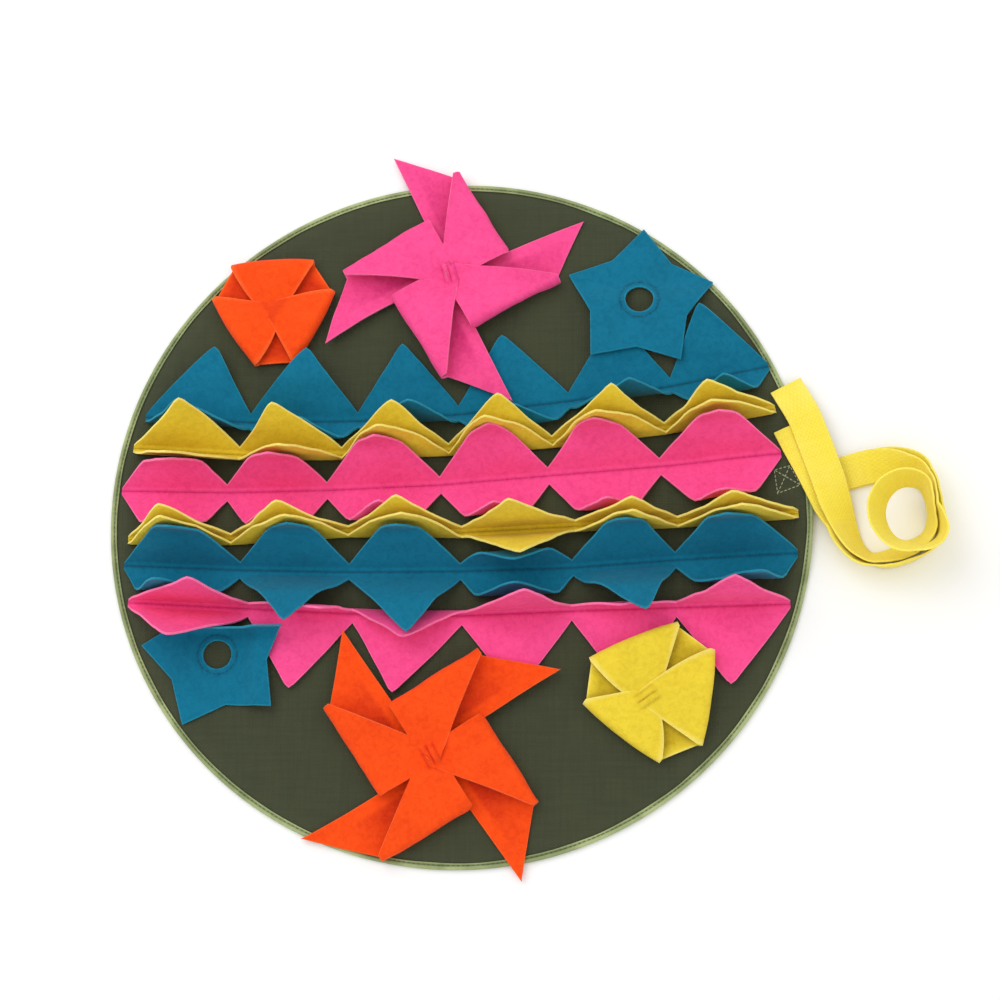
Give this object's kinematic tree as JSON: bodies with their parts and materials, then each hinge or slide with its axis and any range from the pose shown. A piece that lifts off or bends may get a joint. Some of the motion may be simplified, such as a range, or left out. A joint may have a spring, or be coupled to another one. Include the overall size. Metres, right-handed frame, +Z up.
{
  "type": "snuffle mat",
  "caption": "Round snuffle mat: bound canvas disc with standing felt ruffles, folded felt pinwheels, pockets and stars, and webbing straps.",
  "frame": {"origin": "centre of the round mat's underside, on the surface it lies on", "axes": "+Z up out of the mat, +X along the felt ruffles towards the straps, +Y across the ruffles towards the pink pinwheel"},
  "size_m": [0.5894, 0.5301, 0.0599],
  "materials": {
    "canvas": "matt woven canvas",
    "tape": "matt woven tape",
    "felt_teal": "matt felt",
    "felt_pink": "matt felt",
    "felt_orange": "matt felt",
    "felt_yellow": "matt felt",
    "webbing": "smooth woven webbing"
  },
  "bodies": {
    "root": {"base_cloth": "canvas", "edge_binding": "tape", "felt_row_1": "felt_teal", "felt_row_2": "felt_yellow", "felt_row_3": "felt_pink", "felt_row_4": "felt_yellow", "felt_row_5": "felt_teal", "felt_row_6": "felt_pink", "pinwheel_pink": "felt_pink", "pinwheel_orange": "felt_orange", "pocket_orange": "felt_orange", "pocket_yellow": "felt_yellow", "star_teal_upper": "felt_teal", "star_teal_lower": "felt_teal", "strap_upper": "webbing", "strap_lower": "webbing"}
  },
  "joints": []
}
